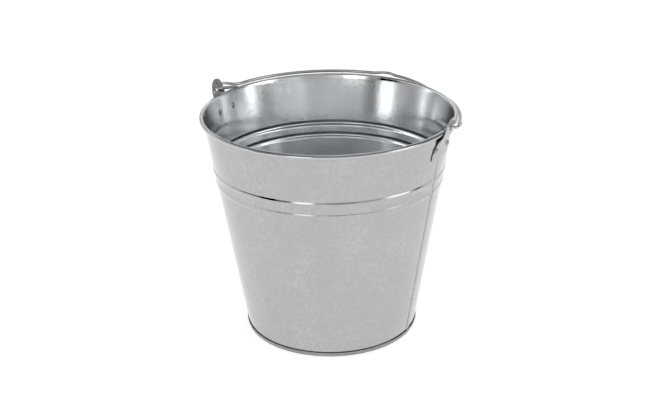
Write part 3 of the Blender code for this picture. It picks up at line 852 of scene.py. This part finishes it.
class BucketRivetsOperator(bpy.types.Operator):
    """Build the four rivets of the ears"""
    bl_idname = "bucket.rivets"
    bl_label = "Rivets"

    def execute(self, context):
        """Surface = half section turned about the wall's normal: dome, shank and hammered end.

        At share s of its radius the dome's height is rise * (1 - s^2)^power. At share u of its
        way in, the hammered end's radius is R (1 - shrink u^power) and its height is
        rise * sin(pi min(rate u, hold)).
        """
        rivet, wall, ear = (context.scene.bucket_rivet, context.scene.bucket_wall,
                            context.scene.bucket_ear)
        face = FIT + ear.sheet + FIT
        inside = -wall.sheet - FIT
        s = np.linspace(DOME_START, 1.0, DOME_POINTS)
        dome = np.stack([rivet.head * s, face + rivet.head_rise * (1 - s ** 2) ** DOME_POWER], 1)
        shank = np.array([[rivet.shank, face], [rivet.shank, inside]])
        crush = np.linspace(0.0, 1.0, CRUSH_POINTS)
        swell = np.sin(math.pi * np.minimum(crush * CRUSH_RATE, CRUSH_HOLD))
        end = np.stack([rivet.set_end * (1 - CRUSH_SHRINK * crush ** CRUSH_POWER),
                        inside - rivet.set_rise * swell], 1)
        section = np.vstack([dome, shank, end])
        around = np.linspace(0.0, 2 * math.pi, RIVET_SIDES, endpoint=False)
        grid = turned(section, around)
        tips = (np.array([0.0, 0.0, face + rivet.head_rise]),
                np.array([0.0, 0.0, end[-1, 1] + END_DIP]))
        for name, angle, height in rivet_places(rivet):
            radial = Vector((math.cos(angle), math.sin(angle), 0.0))
            normal = (radial - Vector((0.0, 0.0, wall.slope))).normalized()
            base = radial * wall_line(wall, height) + Vector((0.0, 0.0, height))
            turn = np.array(normal.to_track_quat('Z', 'Y').to_matrix())
            placed = grid @ turn.T + np.array(base)
            ends = [tip @ turn.T + np.array(base) for tip in tips]
            piece = surface_object(f"{name}_set", placed, start=ends[0], end=ends[1])
            finish_piece(piece, bpy.data.materials["rivet steel"], "bucket", "rivet_steel", name)
        return {'FINISHED'}


# =============================== the bail ===============================

BAIL_RINGS, BAIL_SIDES = 420, 20
RUN_POINTS, RUN_START_DEG = 50, 4.0         # points of the long curve, and where it starts and ends
LIE_CHANGE_DEG = (56.0, 97.0)               # where it passes from the right lie to the left one
EAR_BLEND_DEG = (5.3, 13.5)                 # where it leaves the rim's line for the hook
TAIL_END = (0.1318, 0.0120, 0.0015)         # tip of the wire inside the bucket
TAIL_SHARES = (0.0, 0.33, 0.66, 0.88)
EYE_INSIDE, EYE_OUTSIDE = 0.0042, 0.0018    # reach of the straight to each side of the plate
EYE_ENTRY = (0.00126, 0.00036)              # easing into the eye: along and across
HOOK_BEND_DEG = (-65.0, -40.0, -15.0, 10.0)
CUT_END_BULGE = 0.35


def bail_run(bail, tilt):
    """The long curve between the ears, in the hinge's own frame.

    Beside the curl the wire's place is (reach, lift), which passes smoothly from the left ear's
    values to the right ear's; near each ear it blends out to the hook.
    """
    degrees = np.linspace(RUN_START_DEG, 180.0 - RUN_START_DEG, RUN_POINTS)
    angle = np.radians(degrees)
    left = smooth_step(degrees, *LIE_CHANGE_DEG)
    reach = bail.right_reach + (bail.left_reach - bail.right_reach) * left
    lift = np.radians(bail.right_lift + (bail.left_lift - bail.right_lift) * left)
    arc = np.clip((angle - math.radians(bail.hump_at)) * CURL_R / bail.hump_half, -1.0, 1.0)
    rim_r = CURL_R + reach * np.cos(lift) + bail.hump * 0.5 * (1 + np.cos(math.pi * arc))
    hinge_z = HINGE_Z - rim_r * np.cos(angle) * math.tan(tilt)
    rim_z = CURL_Z + reach * np.sin(lift) - hinge_z
    on_rim = smooth_step(np.minimum(degrees, 180.0 - degrees), *EAR_BLEND_DEG)
    r = bail.outside + (rim_r - bail.outside) * on_rim
    return np.stack([r * np.cos(angle), r * np.sin(angle), rim_z * on_rim], 1)


def bail_hook(bail, ear):
    """One end of the wire: tail inside, through the eye, round the bend outside."""
    tail = np.array(TAIL_END)
    inner = np.array([ear.radius - EYE_INSIDE, 0.0, 0.0])
    straight = tail + (inner - tail) * np.array(TAIL_SHARES)[:, None]
    outer = ear.radius + EYE_OUTSIDE
    through = np.array([[inner[0] + EYE_ENTRY[0], EYE_ENTRY[1], 0.0], [outer, 0.0, 0.0]])
    turn = np.radians(HOOK_BEND_DEG)
    bend = np.stack([outer + bail.bend * np.cos(turn), bail.bend + bail.bend * np.sin(turn),
                     0 * turn], 1)
    return np.vstack([straight, through, bend])


class BucketBailOperator(bpy.types.Operator):
    """Build the wire bail with its hooks and the kink in its middle"""
    bl_idname = "bucket.bail"
    bl_label = "Bail"

    def execute(self, context):
        """Surface = round wire along hook, long curve and mirrored hook, turned to the hinge."""
        bail, ear = context.scene.bucket_bail, context.scene.bucket_ear
        axis = Vector(HINGE["axis"]).normalized()
        tilt = math.atan2(-axis.z, axis.x)
        hook = bail_hook(bail, ear)
        route = np.vstack([hook, bail_run(bail, tilt), hook[::-1] * np.array([-1.0, 1.0, 1.0])])
        path = even_points(route, BAIL_RINGS)
        c, s = math.cos(tilt), math.sin(tilt)
        path = np.stack([c * path[:, 0] + s * path[:, 2], path[:, 1],
                         HINGE_Z - s * path[:, 0] + c * path[:, 2]], 1)
        piece = round_wire("bail_wire", path, bail.wire, BAIL_SIDES, bulge=CUT_END_BULGE)
        finish_piece(piece, bpy.data.materials["galvanised wire"], "bail", "galvanised_wire",
                     "bail")
        return {'FINISHED'}


# =============================== the studio ===============================

FLOOR_POINTS, FLOOR_DROP = 12, 0.0002        # along each side, and how far below the bucket
FLOOR_ROUGH, FLOOR_SHINE = 0.9, 0.1
GRAIN_WAVES, GRAIN_SHARE, GRAIN_DARK = 3.0, 0.02, 0.9
LAMP_PLACE, LAMP_AIM = (0.1, 0.3, 2.3), (0.0, 0.0, 0.13)
LAMP_SIDE, LAMP_POWER = 1.8, 5.0
OVERHEAD, OVERHEAD_DIM = (0.43, 0.56), 0.80  # sines of the elevations where the air grows dimmer
COOLING, COOL_TINT = (0.25, 0.75), (0.90, 1.0, 1.06, 1.0)       # and where it grows cooler
SENSOR_WIDTH, FARTHEST = 36.0, 50.0          # of the camera: millimetres, and metres seen


def floor_material(studio):
    """Plain pale matt paper with a faint grain, brightened evenly by a glow of its own."""
    material = bpy.data.materials.new("studio floor")
    material.use_nodes = True
    tree = material.node_tree
    shader = tree.nodes["Principled BSDF"]
    shader.inputs["Roughness"].default_value = FLOOR_ROUGH
    shader.inputs["Specular IOR Level"].default_value = FLOOR_SHINE
    place = add(tree, 'ShaderNodeTexCoord').outputs["Object"]
    grain = add(tree, 'ShaderNodeTexNoise', Vector=place, Scale=GRAIN_WAVES, Detail=2.0)
    base = tuple(studio.floor_colour)
    shade = mixed(tree, sums(tree, 'MULTIPLY', grain.outputs[0], GRAIN_SHARE), (*base, 1.0),
                  (*(GRAIN_DARK * part for part in base), 1.0))
    join(tree, shade, shader.inputs["Base Color"])
    join(tree, shade, shader.inputs["Emission Color"])
    shader.inputs["Emission Strength"].default_value = studio.floor_glow
    return material


def make_lamp():
    """One large, faint, square soft light overhead."""
    light = bpy.data.lights.new("top", 'AREA')
    light.shape = 'RECTANGLE'
    light.size = light.size_y = LAMP_SIDE
    light.energy = LAMP_POWER
    lamp = bpy.data.objects.new("top", light)
    lamp.location = LAMP_PLACE
    toward = Vector(LAMP_AIM) - Vector(LAMP_PLACE)
    lamp.rotation_euler = toward.to_track_quat('-Z', 'Y').to_euler()
    bpy.context.scene.collection.objects.link(lamp)


# brighter and darker panels of the studio's walls, laid out round the bucket from the camera's
# side: angle round, half width, lowest and highest elevation and softness of the edges, all in
# degrees, then the light added, or taken away where it is below zero
GLOWS = (
    (-25.0, 9.0, -5.0, 18.0, 4.0, 2.4),
    (66.0, 12.0, -5.0, 25.0, 5.0, 2.9),
    (-105.0, 32.0, 20.5, 27.0, 3.0, 2.2),
    (175.0, 14.0, 25.0, 33.0, 4.0, 1.5),
    (99.0, 12.0, -5.0, 18.0, 2.5, -0.95),
    (-60.0, 9.0, -5.0, 15.5, 2.5, -0.75),
    (12.0, 12.0, -5.0, 14.0, 5.0, -0.35),
    (128.0, 12.0, 22.0, 29.0, 4.0, -0.6),
    (-72.0, 36.0, -12.0, 7.5, 2.5, -0.75),
    (102.0, 20.0, -12.0, 7.5, 2.5, -0.75),
    (-29.0, 9.0, 14.0, 22.0, 3.0, 0.7),
)


def make_world(studio):
    """Surroundings: pale walls with softly edged panels, dimmer and cooler overhead.

    Each panel is a smooth window in the angle round the bucket times one in the elevation.
    """
    world = bpy.data.worlds.new("studio air")
    bpy.context.scene.world = world
    world.use_nodes = True
    tree = world.node_tree
    tree.nodes.clear()
    place = add(tree, 'ShaderNodeTexCoord').outputs["Generated"]
    apart = add(tree, 'ShaderNodeSeparateXYZ', Vector=place)
    level = vectors(tree, 'MULTIPLY', place, (1.0, 1.0, 0.0))
    heading = vectors(tree, 'NORMALIZE', level.outputs[0])
    up = apart.outputs["Z"]
    total = sums(tree, 'SUBTRACT', 1.0,
                 sums(tree, 'MULTIPLY', soft_edge(tree, up, *OVERHEAD), OVERHEAD_DIM))
    for angle, half, low, high, soft, strength in GLOWS:
        turn = math.radians(angle + studio.camera_turn)
        toward = vectors(tree, 'DOT_PRODUCT', heading.outputs[0],
                         (math.sin(turn), -math.cos(turn), 0.0))
        wide = soft_edge(tree, toward.outputs["Value"], math.cos(math.radians(half + soft)),
                         math.cos(math.radians(max(half - soft, 0.0))))
        bottom = soft_edge(tree, up, math.sin(math.radians(low - soft)),
                           math.sin(math.radians(low + soft)))
        top = soft_edge(tree, up, math.sin(math.radians(high + soft)),
                        math.sin(math.radians(high - soft)))
        share = sums(tree, 'MULTIPLY', wide, sums(tree, 'MULTIPLY', bottom, top))
        total = sums(tree, 'ADD', total, sums(tree, 'MULTIPLY', share, strength))
    tone = mixed(tree, soft_edge(tree, up, *COOLING), (1.0, 1.0, 1.0, 1.0), COOL_TINT)
    air = add(tree, 'ShaderNodeBackground', Color=tone,
              Strength=sums(tree, 'MULTIPLY', total, studio.air))
    out = add(tree, 'ShaderNodeOutputWorld')
    tree.links.new(air.outputs[0], out.inputs[0])


class BucketStudioOperator(bpy.types.Operator):
    """Build the floor, the soft light, the surroundings and the camera"""
    bl_idname = "bucket.studio"
    bl_label = "Studio"

    def execute(self, context):
        """The floor is a flat square grid, a hair below z = 0.

        The camera stands on a circle round the bucket's axis and is pitched down and rolled.
        """
        studio = context.scene.bucket_studio
        scene = context.scene
        half = studio.floor_size / 2
        steps = np.linspace(-half, half, FLOOR_POINTS)
        x, y = np.meshgrid(steps, steps, indexing='ij')
        corner = np.arange(x.size).reshape(x.shape)
        quads = np.stack([corner[:-1, :-1], corner[1:, :-1], corner[1:, 1:], corner[:-1, 1:]], -1)
        mesh = bpy.data.meshes.new("studio_floor")
        mesh.from_pydata(np.stack([x, y, 0 * x - FLOOR_DROP], -1).reshape(-1, 3).tolist(), [],
                         quads.reshape(-1, 4).tolist())
        floor = bpy.data.objects.new("studio_floor", mesh)
        scene.collection.objects.link(floor)
        floor.data.materials.append(floor_material(studio))
        make_lamp()
        make_world(studio)

        camera = bpy.data.objects.new("camera", bpy.data.cameras.new("camera"))
        camera.data.sensor_width = SENSOR_WIDTH
        camera.data.lens = studio.lens
        camera.data.dof.use_dof = False
        camera.data.clip_end = FARTHEST
        turn, pitch, roll = (math.radians(degrees) for degrees in (
            studio.camera_turn, studio.camera_pitch, studio.camera_roll))
        place = (0.0, -studio.camera_away, studio.camera_height)
        camera.matrix_world = (Matrix.Rotation(turn, 4, 'Z') @ Matrix.Translation(place)
                               @ Matrix.Rotation(math.pi / 2 - pitch, 4, 'X')
                               @ Matrix.Rotation(roll, 4, 'Z'))
        scene.collection.objects.link(camera)
        scene.camera = camera
        scene.view_settings.view_transform = 'Standard'
        scene.view_settings.exposure = 0.0
        return {'FINISHED'}


# =============================== add-on parts ===============================

OPERATORS = (BucketWallOperator, BucketRimWireOperator, BucketBottomOperator, BucketEarsOperator,
             BucketRivetsOperator, BucketBailOperator, BucketStudioOperator)


class BucketPanel(bpy.types.Panel):
    """Lists the pieces of the bucket and their sizes"""
    bl_idname = "VIEW3D_PT_florist_bucket"
    bl_label = "Florist Bucket"
    bl_space_type = 'VIEW_3D'
    bl_region_type = 'UI'
    bl_category = "Bucket"

    def draw(self, context):
        for operator in OPERATORS:
            self.layout.operator(operator.bl_idname)
        for name, group in SETTINGS:
            box = self.layout.box()
            box.label(text=group.__name__.replace("Bucket", "").replace("Settings", ""))
            for key in group.__annotations__:
                box.prop(getattr(context.scene, name), key)


def register():
    for name, group in SETTINGS:
        bpy.utils.register_class(group)
        setattr(bpy.types.Scene, name, PointerProperty(type=group))
    for operator in OPERATORS:
        bpy.utils.register_class(operator)
    bpy.utils.register_class(BucketPanel)


def unregister():
    bpy.utils.unregister_class(BucketPanel)
    for operator in reversed(OPERATORS):
        bpy.utils.unregister_class(operator)
    for name, group in reversed(SETTINGS):
        delattr(bpy.types.Scene, name)
        bpy.utils.unregister_class(group)


def main():
    """Build the materials, the pieces and the studio."""
    register()
    make_materials(bpy.context.scene.bucket_finish)
    for operator in OPERATORS:
        family, name = operator.bl_idname.split(".")
        getattr(getattr(bpy.ops, family), name)()


if __name__ == "__main__":
    main()
